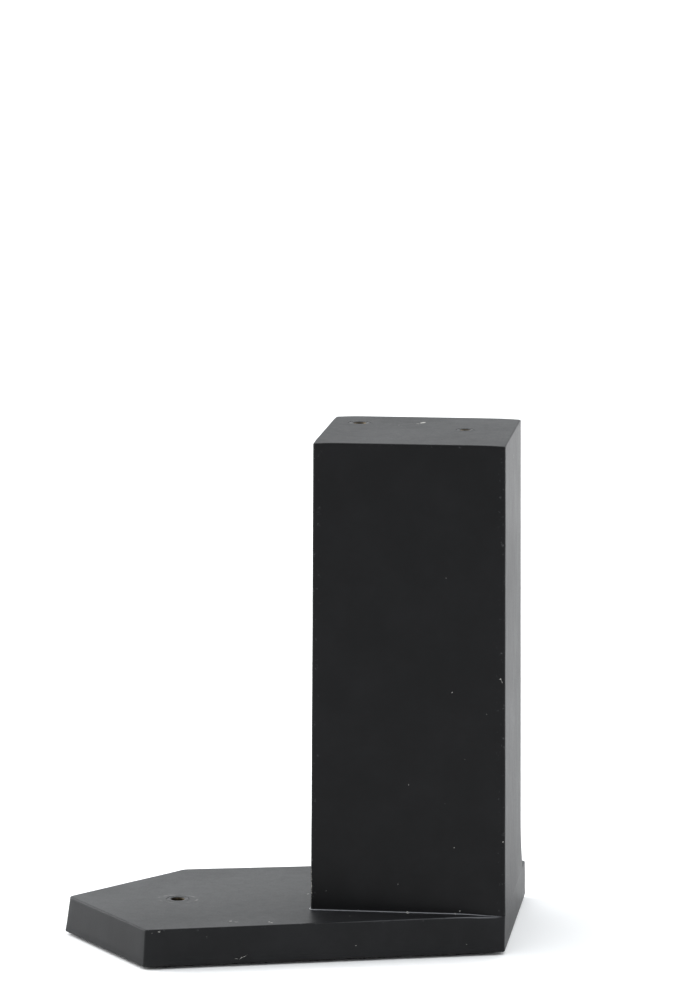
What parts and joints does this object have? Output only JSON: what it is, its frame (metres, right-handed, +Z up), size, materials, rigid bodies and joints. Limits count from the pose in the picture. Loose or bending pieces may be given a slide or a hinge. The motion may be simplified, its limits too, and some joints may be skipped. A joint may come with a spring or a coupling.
{
  "type": "display plinth",
  "caption": "Table-top plinth: a tall square black pillar stands at one end of a flat slab with a pointed end, with pin sockets for a figure.",
  "frame": {"origin": "centre of the bounding box in plan, on the surface the felt stands on", "axes": "+Z up, -Y out of the pillar's front face, +X towards the slab's square end, which the pillar stands at"},
  "size_m": [0.1382, 0.1036, 0.1568],
  "materials": {
    "black_coat_slab": "cast resin with a satin black coat, lightly hand finished",
    "black_coat_pillar": "cast resin with a satin black coat, lightly hand finished",
    "hardwood": "bare sawn hardwood",
    "raw_steel": "sawn and ground mild steel",
    "zinc_screw": "yellow zinc plate",
    "dowel_wood": "fluted beech dowel",
    "brass_insert": "turned brass",
    "steel_screw": "bright zinc plate",
    "steel_washer": "bright zinc plate, stamped",
    "dark_sleeve": "turned brass, darkened",
    "felt": "pressed wool felt"
  },
  "bodies": {
    "root": {"base_slab": "black_coat_slab", "pillar_shell": "black_coat_pillar", "foot_block": "hardwood", "ballast_weight": "raw_steel", "ballast_screw": "zinc_screw", "locating_dowels": "dowel_wood", "threaded_inserts": "brass_insert", "pillar_screws": "steel_screw", "screw_washers": "steel_washer", "toe_socket": "dark_sleeve", "foot_socket": "dark_sleeve", "hand_socket": "dark_sleeve", "felt_pad": "felt"}
  },
  "joints": []
}
